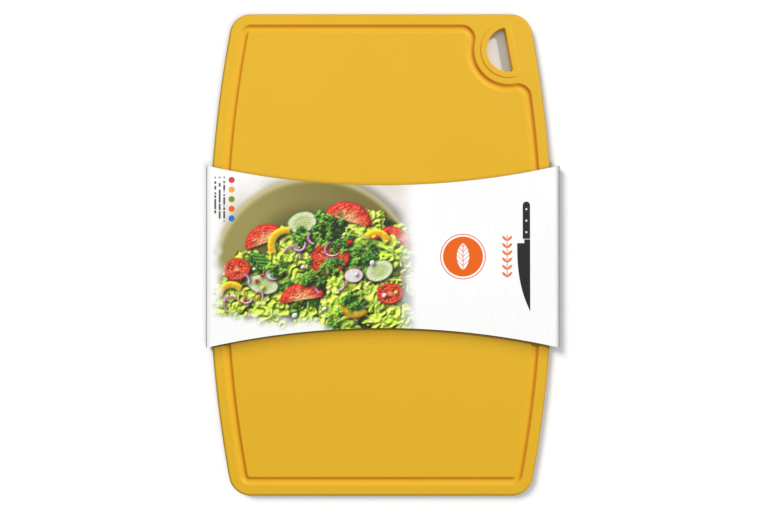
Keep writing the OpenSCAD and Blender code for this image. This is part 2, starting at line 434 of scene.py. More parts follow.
def foldedCardTree(sagPower):
    tree, given, result = newGeometryTree("foldedCard", {
        "Section": "Object", "Rows": "Int", "Middle": "Float", "Half Width": "Float", "Shift": "Float",
        "Waist": "Float", "Edge Radius": "Float", "Front": "Float", "Sag": "Float", "Card": "Material"})
    middle, halfWidth, shift, waist, radius, front, sag = fieldsOf(
        given, "Middle", "Half Width", "Shift", "Waist", "Edge Radius", "Front", "Sag")
    section = addNode(tree, "GeometryNodeObjectInfo", {"Object": given.outputs["Section"]})
    line = step(tree, "GeometryNodeCurveToMesh", section.outputs["Geometry"])
    size = addNode(tree, "GeometryNodeAttributeDomainSize", {0: line}, component="MESH")
    count = Field(size.outputs["Point Count"])
    grid = addNode(tree, "GeometryNodeMeshGrid", {"Size X": 1.0, "Size Y": 2.0, "Vertices X": count,
                                                  "Vertices Y": given.outputs["Rows"]})
    place = addNode(tree, "GeometryNodeInputPosition").outputs[0]
    u, v, flat = axes(tree, place)
    column = calc("ROUND", (u + 0.5) * (count - 1))
    sample = addNode(tree, "GeometryNodeSampleIndex", {"Geometry": line, "Value": place, "Index": column},
                     data_type="FLOAT_VECTOR", domain="POINT")
    x, flat, z = axes(tree, sample.outputs[0])
    across = x - middle
    half = waist * 0.5 + (radius - calc("SQRT", radius * radius - across * across))
    bowl = (1 - v * v) * (1 - abs(across / halfWidth) ** sagPower)
    sunk = z - sag * bowl * (z > front - levelTolerance)
    moved = {"Position": vectorOf(tree, X=x, Y=shift + v * half, Z=sunk)}
    shaped = step(tree, "GeometryNodeSetPosition", grid.outputs["Mesh"], moved)
    soft = step(tree, "GeometryNodeSetShadeSmooth", shaped, {"Shade Smooth": True})
    return finishTree(tree, soft, given.outputs["Card"], result)


def bakeFolded(name, points, rows, s, material):
    # a sheet over a line seen along the mat, with the card's curved edges and its sag
    halfWidth, bow = (s["right"] - s["left"]) / 2, (s["foldLength"] - s["waistLength"]) / 2
    section = lineCurve(name + "Section", [(x, 0, z) for x, z in points], False)
    mesh = bakeTree(name, foldedCardTree(s["sagPower"]), {
        "Section": section, "Rows": rows, "Middle": (s["left"] + s["right"]) / 2 * mm,
        "Half Width": halfWidth * mm, "Shift": s["shift"] * mm, "Waist": s["waistLength"] * mm,
        "Edge Radius": (halfWidth ** 2 + bow ** 2) / (2 * bow) * mm, "Front": s["height"] * mm,
        "Sag": s["sag"] * mm, "Card": material})
    bpy.data.objects.remove(section)
    return mesh


def makeCard(s, material):
    sheet = newObject("cardSheet", bakeFolded("card", cardOutline(s), s["rows"], s, material))
    wall = sheet.modifiers.new("cardThickness", "SOLIDIFY")
    wall.thickness = s["thickness"] * mm
    wall.offset = -1
    return faceOutwards("card", meshOf(sheet), s["sharpFrom"])


# The printed picture: a dish of salad, painted from formulas

pictureSet = {
    "left": -115.0, "right": 25.0, "low": -61.0, "high": 60.0, "grain": 0.25, "seed": 23,
    "light": (-0.55, 0.83), "shadowFall": (0.9, -1.1), "step": 0.5, "rows": 221, "lift": 0.008,
    "skirt": 0.1, "depth": 1.3, "cloudCells": (3, 7, 18, 60), "dish": (-44, -12, 67, 63), "blur": 3,
    "shadowBlur": 4, "shade": (0.92, 0.3, 1.35), "shineAt": 0.5, "shineWidth": 0.2,
    "shineColour": (255, 255, 246), "heapSides": (-106, 18), "band": 0.07, "turn": (0, 6.28),
    "lettuceSize": (12, 20), "lettuceRibs": (3, 6), "lettuceReach": 1.1, "lettuceSquash": (0.6, 0.9),
    "leafLength": (20, 30), "leafBend": (-0.3, 0.3), "leafVeins": (0.9, 1.3), "leafReach": 0.6,
    "herbs": 18, "herbSpread": (4.5, 3.2), "herbSize": (2.6, 4.6), "herbTone": (0.1, 0.9),
    "herbReach": 1.3, "herbSquash": (0.6, 1),
    # a finish is the depth of a thing's shadow, its shine and its relief
    "lettuceFinish": (0.6, 0.35, 0.42), "leafFinish": (0.6, 0.3, 0.35), "herbFinish": (0.4, 0.4, 0.5),
    "toppingFinish": (0.65, 0.4, 0.3),
    "paleGreens": ((222, 234, 108), (150, 188, 48)), "darkGreens": ((168, 204, 72), (72, 128, 32)),
    "paleShare": 0.75, "stripColours": ((246, 198, 14), (251, 230, 110)),
    "ringColours": ((206, 120, 176), (250, 242, 248)), "rings": 10, "ringReach": 10, "ringLine": 0.8,
    "ringSize": (5, 9), "ringSpan": (0.8, 1.6), "ringBand": (0.15, 0.9), "ringSquash": (0.5, 1),
    "pebbleColours": ((214, 24, 22), (250, 214, 60), (250, 248, 238)), "pebbles": 22, "pebbleReach": 3,
    "pebbleSize": (1.1, 2.2), "pebbleBand": (0.1, 0.9), "pebbleSquash": (0.6, 1),
    # scattered things: kind, count, and between which shares of the heap's depth
    # toppings: kind, place, reach, turn, squash and sizes
    "layers": (
        ("lettuce", 30, 0.0, 1.0), ("lettuce", 7, 0.72, 0.98), ("leaf", 5, 0.1, 0.9), ("herbs", 5, 0.45, 1.0),
        ("wedge", (-22, 22), 18, -0.25, 0.8, 16), ("wedge", (-76, 8), 15, 0.35, 0.85, 14),
        ("cucumber", (-52, 21), 12, 0.3, 0.7, 10.5), ("wedge", (8, 8), 14, -0.5, 0.85, 12),
        ("lettuce", 9, 0.2, 0.7),
        ("tomato", (-95, -10), 11, 0.3, 0.85, 9, 3), ("strip", (-60, 4), 16, 2.5, 0.85, 13, 2.8, 1.05),
        ("tomato", (-34, -3), 16, 0.2, 0.8, 13.5, 4), ("strip", (-4, 2), 16, 1.4, 0.8, 12, 3.0, 0.9),
        ("cucumber", (-1, -11), 11, 0.4, 0.7, 10),
        ("herbs", 5, 0.25, 0.9), ("lettuce", 13, 0.0, 0.4),
        ("cucumber", (-78, -20), 13, -0.2, 0.6, 11), ("radish", (-70, -12), 9, 0.3, 0.75, 7),
        ("wedge", (-52, -30), 17, 0.15, 0.75, 15), ("strip", (-16, -29), 15, 4.4, 0.85, 11, 2.8, 1.1),
        ("strip", (-98, -30), 12, 1.9, 0.85, 10, 2.6, 1.1), ("tomato", (6, -26), 11, 0.1, 0.8, 9, 3),
        ("radish", (-18, -14), 9, 0.1, 0.75, 6.5),
        ("pebbles",), ("rings",), ("herbs", 5, 0.0, 1.0)),
}
fullTurn = 2 * math.pi


def smooth(start, end, value):
    share = np.clip((value - start) / (end - start), 0, 1)
    return share * share * (3 - 2 * share)


def blend(first, second, share):
    share = np.asarray(share)[..., None]
    return np.asarray(first) * (1 - share) + np.asarray(second) * share


def cloudField(rng, rows, columns, cell):
    # smooth noise from 0 to 1 in cells of that many points
    knots = rng.random((rows // cell + 3, columns // cell + 3))
    down, along = np.arange(rows) / cell, np.arange(columns) / cell
    i, j = down.astype(int), along.astype(int)
    s, t = smooth(0, 1, down - i)[:, None], smooth(0, 1, along - j)[None, :]
    low = knots[i][:, j] * (1 - t) + knots[i][:, j + 1] * t
    high = knots[i + 1][:, j] * (1 - t) + knots[i + 1][:, j + 1] * t
    return low * (1 - s) + high * s


def softened(field, reach):
    # a box blur, run twice along each way
    for axis in (0, 1, 0, 1):
        padded = np.concatenate([np.repeat(np.take(field, [0], axis), reach + 1, axis), field,
                                 np.repeat(np.take(field, [-1], axis), reach, axis)], axis)
        total = np.cumsum(padded, axis)
        count = field.shape[axis]
        width = 2 * reach + 1
        high, low = [np.take(total, range(start, start + count), axis) for start in (width, 0)]
        field = (high - low) / width
    return field


def newPaper(s):
    columns = round((s["right"] - s["left"]) / s["grain"])
    rows = round((s["high"] - s["low"]) / s["grain"])
    x, y = np.meshgrid(s["left"] + (np.arange(columns) + 0.5) * s["grain"],
                       s["low"] + (np.arange(rows) + 0.5) * s["grain"])
    rng = np.random.default_rng(s["seed"])
    clouds = [cloudField(rng, rows, columns, cell) for cell in s["cloudCells"]]
    return {"set": s, "x": x, "y": y, "ink": np.full((rows, columns, 3), 255.0), "rng": rng, "clouds": clouds}


def stamp(paper, spot, reach, turn, squash, finish, shape, *values):
    # one thing on the heap: its shadow on what is below, then its own lit colours
    s = paper["set"]
    shadow, gloss, relief = finish
    margin = reach + 3

    def span(middle, start, count):
        low, high = [int((edge - start) / s["grain"]) for edge in (middle - margin, middle + margin)]
        return slice(max(0, low), min(count, high))

    rows, columns = paper["x"].shape
    place = (span(spot[1], s["low"], rows), span(spot[0], s["left"], columns))
    if min(part.stop - part.start for part in place) < 4:
        return
    dx, dy = paper["x"][place] - spot[0], paper["y"][place] - spot[1]
    u = dx * math.cos(turn) + dy * math.sin(turn)
    v = (dy * math.cos(turn) - dx * math.sin(turn)) / squash
    mask, colour, height = shape(u, v, [cloud[place] for cloud in paper["clouds"]], *values)
    along, down = (round(part / s["grain"]) for part in s["shadowFall"])
    fallen = np.zeros_like(mask)
    fallen[:down, along:] = mask[-down:, :-along]
    ink = paper["ink"][place]
    ink *= (1 - shadow * softened(fallen, s["shadowBlur"]) * (1 - mask))[..., None]
    slopeY, slopeX = np.gradient(height, s["grain"])
    tilt = -(slopeX * s["light"][0] + slopeY * s["light"][1])
    level, darkest, lightest = s["shade"]
    lit = np.clip(level + relief * tilt, darkest, lightest)
    shine = gloss * np.exp(-((tilt - s["shineAt"]) / s["shineWidth"]) ** 2)
    lit = blend(np.asarray(colour) * lit[..., None], s["shineColour"], np.clip(shine, 0, 1))
    paper["ink"][place] = blend(ink, np.clip(lit, 0, 255), mask)


# Each shape gives its outline, its colours and its height at places u, v from its middle

def lettuce(u, v, clouds, size, waves, ribs, light, deep):
    r, angle = np.hypot(u, v), np.arctan2(v, u)
    wobble = clouds[2] - 0.5
    rim = size * (0.8 + 0.11 * np.sin(3 * angle + waves[0]) + 0.07 * np.sin(7 * angle + waves[1])
                  + 0.04 * np.sin(15 * angle + waves[2] + 3 * wobble) + 0.02 * np.sin(33 * angle + waves[3]))
    out = r / rim
    folds = np.sin(6 * angle + waves[4] + 8 * wobble) * out ** 1.2
    frill = np.sin(19 * angle + waves[5] + 12 * wobble) * out ** 3
    height = (size * (0.11 * folds + 0.035 * frill + 0.14 * (1 - out ** 2))
              + 1.3 * clouds[1] + 0.25 * clouds[0])
    rib = np.exp(-(np.sin(ribs * angle / 2 + waves[6]) * r / 0.6) ** 2) * smooth(0.9, 0.3, out)
    veil = 0.5 * np.sin(2 * angle + waves[7]) * out
    tone = 0.5 + 0.35 * folds + veil * 0.6 + 0.6 * (clouds[1] - 0.5) + 0.3 * (clouds[0] - 0.5)
    colour = blend(deep, light, np.clip(tone, 0, 1))
    colour = blend(colour, (240, 244, 190), np.clip(1.6 * (tone - 0.85), 0, 0.8))
    colour = blend(colour, (232, 240, 170), 0.7 * rib)
    colour = blend(colour, (228, 238, 130), 0.5 * smooth(0.86, 1.0, out))
    return smooth(1.0, 0.95, out), colour, height


def smoothLeaf(u, v, clouds, length, bend, veins):
    share = np.clip(u / length + 0.5, 0, 1)
    middle = bend * length * (share - 0.5) ** 2
    half = 0.27 * length * np.sin(math.pi * share ** 0.85) ** 0.8 + 0.01
    side = (v - middle) / half
    edge = np.abs(side)
    comb = np.sin((u - np.abs(v - middle) * 1.1) * fullTurn / (length * 0.13 * veins))
    height = 0.09 * length * (1 - edge ** 2) * (0.6 + 0.4 * np.sign(side)) + 0.35 * comb + 0.8 * clouds[1]
    tone = 0.45 + 0.3 * np.sign(side) + 0.35 * (clouds[1] - 0.5) + 0.12 * comb
    colour = blend((34, 86, 24), (104, 158, 52), np.clip(tone, 0, 1))
    colour = blend(colour, (176, 206, 120), np.exp(-((v - middle) / 0.35) ** 2) * 0.9)
    colour = blend(colour, (150, 190, 96), 0.35 * smooth(0.88, 1, comb))
    return smooth(1.0, 0.9, edge) * (np.abs(u) < length / 2), colour, height


def herbLeaf(u, v, clouds, size, waves, tone):
    r, angle = np.hypot(u, v), np.arctan2(v, u)
    rim = size * (0.5 + 0.32 * np.abs(np.cos(1.5 * angle)) ** 0.7 + 0.14 * np.cos(10 * angle + waves[0]))
    out = r / rim
    height = size * 0.3 * (1 - out ** 2) + 0.35 * size * np.cos(3 * angle) * out * 0.4 + 0.6 * clouds[0]
    tone = tone + 0.7 * (clouds[0] - 0.5) + 0.25 * np.cos(3 * angle)
    colour = blend((46, 108, 26), (156, 206, 66), np.clip(tone, 0, 1))
    return smooth(1.0, 0.86, out), colour, height


def tomatoRound(u, v, clouds, size, waves, chambers):
    r, angle = np.hypot(u, v), np.arctan2(v, u)
    out = r / (size * (1 + 0.02 * np.sin(3 * angle + waves[0])))
    spoke = np.cos(chambers * angle + waves[1])
    cell = smooth(-0.35, 0.1, spoke) * smooth(0.8, 0.68, out) * smooth(0.16, 0.28, out)
    seedRing = np.sin(chambers * 5 * angle + waves[2]) * np.exp(-((out - 0.55) / 0.14) ** 2)
    flesh = smooth(0.35, 0.05, out) + 0.35 * clouds[0] * smooth(0.9, 0.6, out)
    colour = blend((236, 84, 52), (250, 168, 128), flesh)
    colour = blend(colour, (206, 44, 18), 0.85 * cell)
    colour = blend(colour, (250, 216, 120), smooth(0.45, 0.8, seedRing) * cell)
    colour = blend(colour, (196, 20, 14), smooth(0.86, 0.95, out))
    return smooth(1.0, 0.95, out), colour, 0.8 * smooth(1.02, 0.9, out) - 0.5 * cell + 0.5 * clouds[0]


def tomatoWedge(u, v, clouds, size, waves):
    angle, out = np.arctan2(v, u), np.hypot(u, v) / size
    fan = np.sin(7 * angle + waves[0] + 2 * (clouds[1] - 0.5))
    colour = blend((250, 176, 120), (238, 78, 44), smooth(0.25, 0.75, out + 0.12 * fan))
    colour = blend(colour, (255, 226, 180), 0.6 * smooth(0.55, 0.95, fan) * smooth(0.85, 0.5, out))
    colour = blend(colour, (222, 60, 24), 0.6 * smooth(0.4, 0.9, -fan) * smooth(0.3, 0.5, out))
    colour = blend(colour, (198, 18, 14), smooth(0.84, 0.93, out))
    height = 1.6 * smooth(1.02, 0.8, out) + 0.5 * fan * out + 0.8 * clouds[0]
    return smooth(1.0, 0.96, out) * smooth(-0.6, 0.2, v), colour, height


def cucumber(u, v, clouds, size, waves):
    angle, out = np.arctan2(v, u), np.hypot(u, v) / size
    colour = blend((214, 226, 168), (240, 246, 214), smooth(0.45, 0.75, out) + 0.25 * (clouds[0] - 0.5))
    seeds = smooth(0.35, 0.8, np.sin(12 * angle + waves[0])) * np.exp(-((out - 0.38) / 0.1) ** 2)
    colour = blend(colour, (188, 204, 118), 0.8 * seeds)
    star = np.abs(np.sin(1.5 * angle + waves[1])) + out
    colour = blend(colour, (206, 222, 156), 0.6 * smooth(0.3, 0.1, star))
    colour = blend(colour, (120, 168, 66), smooth(0.86, 0.92, out))
    colour = blend(colour, (44, 96, 34), smooth(0.92, 0.97, out))
    return smooth(1.0, 0.96, out), colour, 0.7 * smooth(1.02, 0.88, out) + 0.25 * clouds[0] - 0.3 * seeds


def radish(u, v, clouds, size, waves):
    angle, out = np.arctan2(v, u), np.hypot(u, v) / size
    rays = 0.5 + 0.5 * np.sin(26 * angle + waves[0])
    colour = blend((252, 250, 246), (236, 220, 226), rays * smooth(0.2, 0.8, out) * 0.7)
    colour = blend(colour, (204, 30, 92), smooth(0.87, 0.95, out))
    return smooth(1.0, 0.95, out), colour, 0.5 * smooth(1.02, 0.9, out) + 0.3 * clouds[1]


def bentStrip(u, v, clouds, size, thickness, span, colour, inner):
    # an arc of that radius with a round back
    side = (np.hypot(u, v) - size) / thickness
    body = smooth(1.0, 0.85, np.abs(side)) * smooth(span, span - 0.12, np.abs(np.arctan2(v, u)))
    shade = blend(colour, inner, smooth(0.2, -0.8, side) + 0.15 * (clouds[1] - 0.5))
    return body, shade, 0.9 * thickness * np.sqrt(np.clip(1 - side ** 2, 0, 1)) + 0.3 * clouds[1]


def pebble(u, v, clouds, size, colour):
    out = np.hypot(u, v) / size
    shade = blend(colour, (255, 255, 255), np.clip(0.2 * (clouds[1] - 0.5), 0, 1))
    return smooth(1.0, 0.9, out), shade, 0.9 * size * np.sqrt(np.clip(1 - out ** 2, 0, 1)) + 0.3 * clouds[0]


def fromDish(s, x, y):  # 1 on the dish's rim
    middleX, middleY, halfX, halfY = s["dish"]
    return np.hypot((x - middleX) / halfX, (y - middleY) / halfY)


def paintBackdrop(paper):
    # cloth, the dish's far side and, out of focus, greens in front
    s, x, y, clouds = paper["set"], paper["x"], paper["y"], paper["clouds"]
    cloth = blend((250, 248, 242), (214, 206, 196), clouds[3] * smooth(-60, 60, y + 0.5 * x + 30))
    out = fromDish(s, x, y)
    dish = blend((170, 160, 104), (138, 128, 72), smooth(-90, 20, x + 0.3 * y))
    dish = blend(dish, (216, 210, 172), smooth(0.93, 0.98, out) * smooth(1.02, 0.99, out) * 0.8)
    dish = blend(dish, (112, 108, 62), smooth(0.80, 0.55, out) * 0.8)
    cloth = cloth * (1 - 0.35 * smooth(1.12, 0.98, fromDish(s, x - 3, y + 3)))[..., None]
    ink = blend(cloth, dish, smooth(1.01, 0.99, out))
    garden = blend((70, 128, 44), (168, 200, 84), smooth(0.35, 0.7, clouds[2]))
    garden = blend(garden, (226, 236, 190), smooth(0.72, 0.9, clouds[2]) * 0.8)
    ink = blend(ink, garden, smooth(-24, -34, y + 0.22 * x) * smooth(-30, -8, x))
    for channel in range(3):
        ink[..., channel] = softened(ink[..., channel], s["blur"])
    paper["ink"][:] = ink


def heapTop(x):  # the heap's upper outline
    return 27 - 0.0085 * (x + 22) ** 2 + 3 * np.sin(x / 9) + 1.5 * np.sin(x / 3.7)


def heapFoot(x):
    return -51 + 0.0024 * (x + 35) ** 2


def paintHeap(paper):
    s, rng, x, y = paper["set"], paper["rng"], paper["x"], paper["y"]
    under = blend((20, 40, 10), (84, 116, 34), paper["clouds"][1])
    inside = smooth(1, -3, y - heapTop(x)) * smooth(-3, 1, y - heapFoot(x))
    paper["ink"][:] = blend(paper["ink"], under, inside)

    def draw(name):
        return rng.uniform(*s[name])

    def drawWaves(count):
        return rng.uniform(0, fullTurn, count)

    def somewhere(low, high):
        px = draw("heapSides")
        return px, heapFoot(px) + (heapTop(px) - heapFoot(px)) * rng.uniform(low, high)

    def layLettuce(spot):
        size = draw("lettuceSize")
        greens = s["paleGreens"] if rng.random() < s["paleShare"] else s["darkGreens"]
        turn, waves, ribs = draw("turn"), drawWaves(8), rng.integers(*s["lettuceRibs"])
        stamp(paper, spot, s["lettuceReach"] * size, turn, draw("lettuceSquash"), s["lettuceFinish"],
              lettuce, size, waves, ribs, *greens)

    def layLeaf(spot):
        length, turn, bend, veins = [draw(name) for name in ("leafLength", "turn", "leafBend", "leafVeins")]
        stamp(paper, spot, s["leafReach"] * length, turn, 1.0, s["leafFinish"],
              smoothLeaf, length, bend, veins)

    def layHerbs(spot):
        for i in range(s["herbs"]):
            near = [middle + rng.normal(0, spread) for middle, spread in zip(spot, s["herbSpread"])]
            size, turn, waves, tone = draw("herbSize"), draw("turn"), drawWaves(2), draw("herbTone")
            stamp(paper, near, s["herbReach"] * size, turn, draw("herbSquash"), s["herbFinish"],
                  herbLeaf, size, waves, tone)

    def scatter(lay, count, low, high):
        # from the heap's far side to its near side
        for share in np.linspace(high, low, count):
            lay(somewhere(max(share - s["band"], low), share))

    def scatterPebbles():
        for i in range(s["pebbles"]):
            colour = s["pebbleColours"][rng.integers(len(s["pebbleColours"]))]
            spot, turn, size = somewhere(*s["pebbleBand"]), draw("turn"), draw("pebbleSize")
            stamp(paper, spot, s["pebbleReach"], turn, draw("pebbleSquash"), s["toppingFinish"],
                  pebble, size, colour)

    def scatterRings():
        for i in range(s["rings"]):
            size, span = draw("ringSize"), draw("ringSpan")
            spot, turn = somewhere(*s["ringBand"]), draw("turn")
            stamp(paper, spot, s["ringReach"], turn, draw("ringSquash"), s["toppingFinish"],
                  bentStrip, size, s["ringLine"], span, *s["ringColours"])

    # each topping's shape and how many random waves it draws
    toppings = {"wedge": (tomatoWedge, 2), "cucumber": (cucumber, 2), "tomato": (tomatoRound, 3),
                "radish": (radish, 1)}
    scattered = {"lettuce": layLettuce, "leaf": layLeaf, "herbs": layHerbs}
    for kind, *values in s["layers"]:
        if kind == "pebbles":
            scatterPebbles()
        elif kind == "rings":
            scatterRings()
        elif kind in scattered:
            scatter(scattered[kind], *values)
        else:
            spot, reach, turn, squash, size, *more = values
            if kind == "strip":
                shape, sizes = bentStrip, (size, *more, *s["stripColours"])
            else:
                shape, waveCount = toppings[kind]
                sizes = (size, drawWaves(waveCount), *more)
            stamp(paper, spot, reach, turn, squash, s["toppingFinish"], shape, *sizes)


def fadeOut(paper):
    # the print runs out into the white card at the left, right and bottom
    x, y, clouds = paper["x"], paper["y"], paper["clouds"]
    drift = 5 * (clouds[2] - 0.5) + 7 * (clouds[3] - 0.5)
    seen = smooth(-115, -102, x + drift) * smooth(24, 9, x + 0.5 * drift)
    foot = -45 - 15 * smooth(-52, -22, x)
    seen = seen * smooth(-3, 7, y - foot + drift)
    return seen * (1 - smooth(1.0, 1.25, fromDish(paper["set"], x, y)) * smooth(-20, -70, x) * 0.9)


def paintPicture(s):
    paper = newPaper(s)
    paintBackdrop(paper)
    paintHeap(paper)
    return 255 * (paper["ink"] / 255) ** s["depth"], fadeOut(paper)


def toLinear(colour):  # from a screen colour of 0 to 1
    return np.where(colour <= 0.04045, colour / 12.92, ((colour + 0.055) / 1.055) ** 2.4)


def makePicture(s, card, material):
    # the ink lies on the card's front as a film, its rim turned down into the card
    width = s["right"] - s["left"]
    count = round(width / s["step"])
    line = [(s["left"] + width * (i + 0.5) / count, card["height"] + s["lift"]) for i in range(count)]
    mesh = bakeFolded("picture", line, s["rows"], card, material)
    work = bmesh.new()
    work.from_mesh(mesh)
    if sum(face.normal.z for face in work.faces) < 0:
        bmesh.ops.reverse_faces(work, faces=work.faces)
    border = [edge for edge in work.edges if edge.is_boundary]
    rim = bmesh.ops.extrude_edge_only(work, edges=border)
    for edge in border:
        edge.smooth = False
    lowered = [part for part in rim["geom"] if isinstance(part, bmesh.types.BMVert)]
    bmesh.ops.translate(work, verts=lowered, vec=(0, 0, -s["skirt"] * mm))
    work.to_mesh(mesh)
    work.free()
    ink, seen = paintPicture(s)
    paint = np.concatenate([toLinear(np.clip(ink / 255, 0, 1)), seen[..., None]], 2)
    place = np.zeros(len(mesh.vertices) * 3)
    mesh.vertices.foreach_get("co", place)
    place = place.reshape(-1, 3) / mm
    column, row = [np.clip((place[:, axis] - s[start]) / s["grain"] - 0.5, 0, paint.shape[1 - axis] - 1.001)
                   for axis, start in ((0, "left"), (1, "low"))]
    i, j = row.astype(int), column.astype(int)
    t, u = (row - i)[:, None], (column - j)[:, None]
    colours = ((paint[i, j] * (1 - u) + paint[i, j + 1] * u) * (1 - t)
               + (paint[i + 1, j] * (1 - u) + paint[i + 1, j + 1] * u) * t)
    mesh.attributes.new("printShare", "FLOAT", "POINT").data.foreach_set("value", colours[:, 3])
    colours[:, 3] = 1
    mesh.attributes.new("printColour", "FLOAT_COLOR", "POINT").data.foreach_set("color", colours.ravel())
    print("picture made:", len(mesh.polygons), "faces")
    return mesh


# Materials

# hollow, turned and hollowShadePower set painted shade; sidePower, nearReach and leastLight the sleeve's
# painted shadow; rimShade the rim's
siliconeSet = {"colour": (0.799, 0.460, 0.019), "roughness": 0.5, "grainScale": 1500.0, "tone": 0.05,
               "grainDepth": 0.00002, "gloss": 0.22, "hollowShadeColour": (0.74, 0.10, 0.0005), "turned": 0.72,
               "upGain": 1.2, "reach": 0.012, "hollowShadePower": 0.5, "lean": 72, "sidePower": 2.0,
               "nearReach": 0.003, "leastLight": 0.57, "rimShade": 0.42, "rimPower": 0.6}
glueSet = {"colour": (0.66, 0.56, 0.36), "roughness": 0.35, "gloss": 0.5, "grainScale": 700.0, "tone": 0.2,
           "grainDepth": 0.00004}
grainSet = {"broadScale": 22.0, "broadShare": 0.7, "fineShare": 0.3}
shadeSamples = 8


def fineGrainGroup(s):
    # a fine uneven surface: a slight change of tone and a bump
    group, given, result = newTree("fineGrain", "ShaderNodeTree", {
        "Scale": "Float", "Tone": "Float", "Depth": "Float"}, {"Tone": "Float", "Normal": "Vector"})
    scale, tone, depth = fieldsOf(given, "Scale", "Tone", "Depth")
    place = addNode(group, "ShaderNodeTexCoord").outputs["Object"]
    fine, broad = [addNode(group, "ShaderNodeTexNoise", {"Vector": place, "Scale": size, "Detail": detail})
                   for size, detail in ((scale, 3.0), (s["broadScale"], 2.0))]
    fine, broad = Field(fine.outputs["Fac"]), Field(broad.outputs["Fac"])
    bump = addNode(group, "ShaderNodeBump", {"Strength": 1.0, "Distance": depth, "Height": fine})
    uneven = broad * s["broadShare"] + fine * s["fineShare"]
    feed(result.inputs["Tone"], 1 + (uneven - 0.5) * tone)
    feed(result.inputs["Normal"], bump.outputs["Normal"])
    return group


def turnDownGroup():
    # 0 on level and on upright faces, most on those between them
    group, given, result = newTree("turnDown", "ShaderNodeTree", {"Level": "Float", "Power": "Float"},
                                   {"Share": "Float"})
    level, power = fieldsOf(given, "Level", "Power")
    flatness = abs(level)
    feed(result.inputs["Share"], (1 - flatness).clamped() ** power * (flatness * 4).clamped())
    return group


fineGrain, turnDown = fineGrainGroup(grainSet), turnDownGroup()


def newMaterial(name, s):
    # a material with the fine grain on it, for its maker to colour
    material = bpy.data.materials.new(name)
    material.use_nodes = True
    tree = material.node_tree
    shader = tree.nodes["Principled BSDF"]
    shader.inputs["Roughness"].default_value = s["roughness"]
    shader.inputs["Specular IOR Level"].default_value = s["gloss"]
    grain = addNode(tree, "ShaderNodeGroup", {"Scale": s["grainScale"], "Tone": s["tone"],
                                              "Depth": s["grainDepth"]}, node_tree=fineGrain)
    feed(shader.inputs["Normal"], grain.outputs["Normal"])
    return material, tree, shader, Field(grain.outputs["Tone"])


def turnedDown(level, power):
    node = addNode(level.tree, "ShaderNodeGroup", {"Level": level, "Power": power}, node_tree=turnDown)
    return Field(node.outputs["Share"])


def tinted(colour, tone):
    # a colour made lighter or darker
    return addNode(tone.tree, "ShaderNodeVectorMath", {0: colour, 1: tone}, operation="MULTIPLY").outputs[0]


def mixed(share, *colours):
    first, second = [(*colour, 1) if isinstance(colour, tuple) else colour for colour in colours]
    return addNode(share.tree, "ShaderNodeMix", {0: share, 6: first, 7: second}, data_type="RGBA").outputs[2]


def attributeNode(tree, name):
    return addNode(tree, "ShaderNodeAttribute", attribute_name=name)


def openness(tree, reach, ownOnly, **more):
    # the share of the light from round about that nothing near keeps off
    node = addNode(tree, "ShaderNodeAmbientOcclusion", {"Distance": reach, **more}, samples=shadeSamples,
                   only_local=ownOnly)
    return Field(node.outputs["AO"])


def othersLeave(tree, reach, **more):
    # the share of that light that other pieces leave
    free, own = [openness(tree, reach, ownOnly, **more) for ownOnly in (False, True)]
    return (free / most(own, 0.05)).clamped()


def makeSilicone(s):
    material, tree, shader, tone = newMaterial("silicone", s)
    facingX, facingY, level = axes(tree, addNode(tree, "ShaderNodeTexCoord").outputs["Normal"])
    up = (level * s["upGain"]).clamped()
    rim = Field(attributeNode(tree, "rim").outputs["Fac"])

    def onTop(value):  # 1 wherever the face doesn't look up
        return (value - 1) * up + 1

    # painted shade: hollows and slopes turned from the lamp are painted deeper, like light gone through the
    # silicone
    turned = most(((facingX + facingY) * s["turned"] + 1).clamped(), rim)
    unshadedShare = onTop(openness(tree, s["reach"], True) ** s["hollowShadePower"] * turned)
    colour = mixed(unshadedShare, s["hollowShadeColour"], s["colour"])
    # the sleeve keeps light off the mat: widely on the side away from the lamp, narrowly all round
    lean = math.radians(s["lean"])
    toLamp = vectorOf(tree, Y=math.sin(lean), Z=math.cos(lean))
    wide = othersLeave(tree, s["reach"], Normal=toLamp) ** s["sidePower"]
    beside = onTop(most(wide, s["leastLight"]) * othersLeave(tree, s["nearReach"]))
    # painted shade: the outer edge is darker where it turns down
    edge = rim * turnedDown(level, s["rimPower"])
    feed(shader.inputs["Base Color"], tinted(colour, tone * (1 - edge * s["rimShade"]) * beside))
    return material


def makeGlue(s):
    material, tree, shader, tone = newMaterial("driedGlue", s)
    feed(shader.inputs["Base Color"], tinted(s["colour"], tone))
    return material


# What is printed on the card, in millimetres

